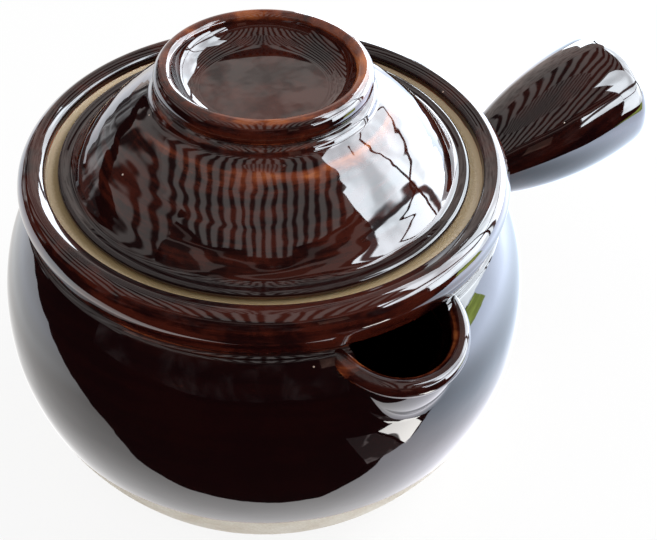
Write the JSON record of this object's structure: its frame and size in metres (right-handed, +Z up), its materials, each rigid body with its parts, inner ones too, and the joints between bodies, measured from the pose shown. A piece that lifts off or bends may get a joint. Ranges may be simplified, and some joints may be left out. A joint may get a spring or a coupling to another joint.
{
  "type": "ceramic saucepan",
  "caption": "Round-bellied glazed stoneware saucepan with a rolled collar, a side handle, a pouring spout and a domed lid with a ring knob.",
  "frame": {"origin": "on the pan's own axis, in the flat base at table level", "axes": "+Z up along the pan's axis, +X along the handle, -Y along the pouring spout"},
  "size_m": [0.2669, 0.1936, 0.1523],
  "materials": {
    "glaze": "gloss"
  },
  "bodies": {
    "root": {"pot": "glaze", "lid": "glaze"}
  },
  "joints": []
}
